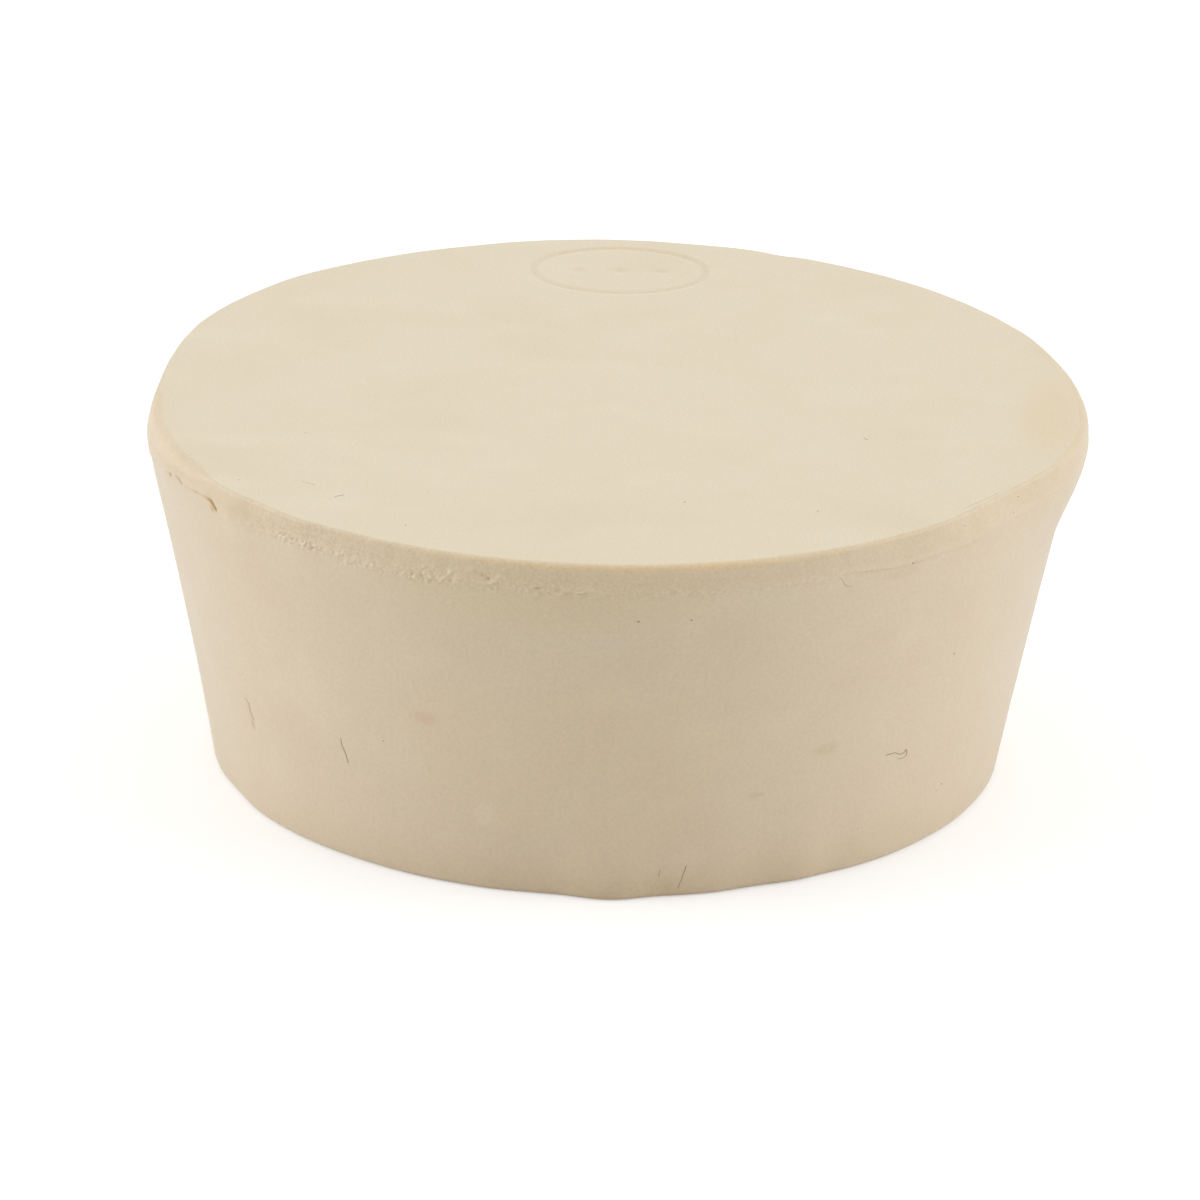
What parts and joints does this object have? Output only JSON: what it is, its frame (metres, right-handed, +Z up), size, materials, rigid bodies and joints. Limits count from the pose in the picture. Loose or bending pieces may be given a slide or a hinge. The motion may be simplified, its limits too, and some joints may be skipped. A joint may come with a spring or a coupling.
{
  "type": "rubber stopper",
  "caption": "Solid tapered round stopper in soft cream rubber, pushed small end first into a flask or bottle neck to seal it.",
  "frame": {"origin": "middle of the small end's face, on which the stopper stands", "axes": "+Z up along the taper's axis, from the small end to the large end; the front faces -Y"},
  "size_m": [0.0655, 0.0646, 0.026],
  "materials": {
    "rubber": "matte moulded cream gum rubber, slightly mottled, with a little brown staining at the parting line"
  },
  "bodies": {
    "root": {"stopper": "rubber"}
  },
  "joints": []
}
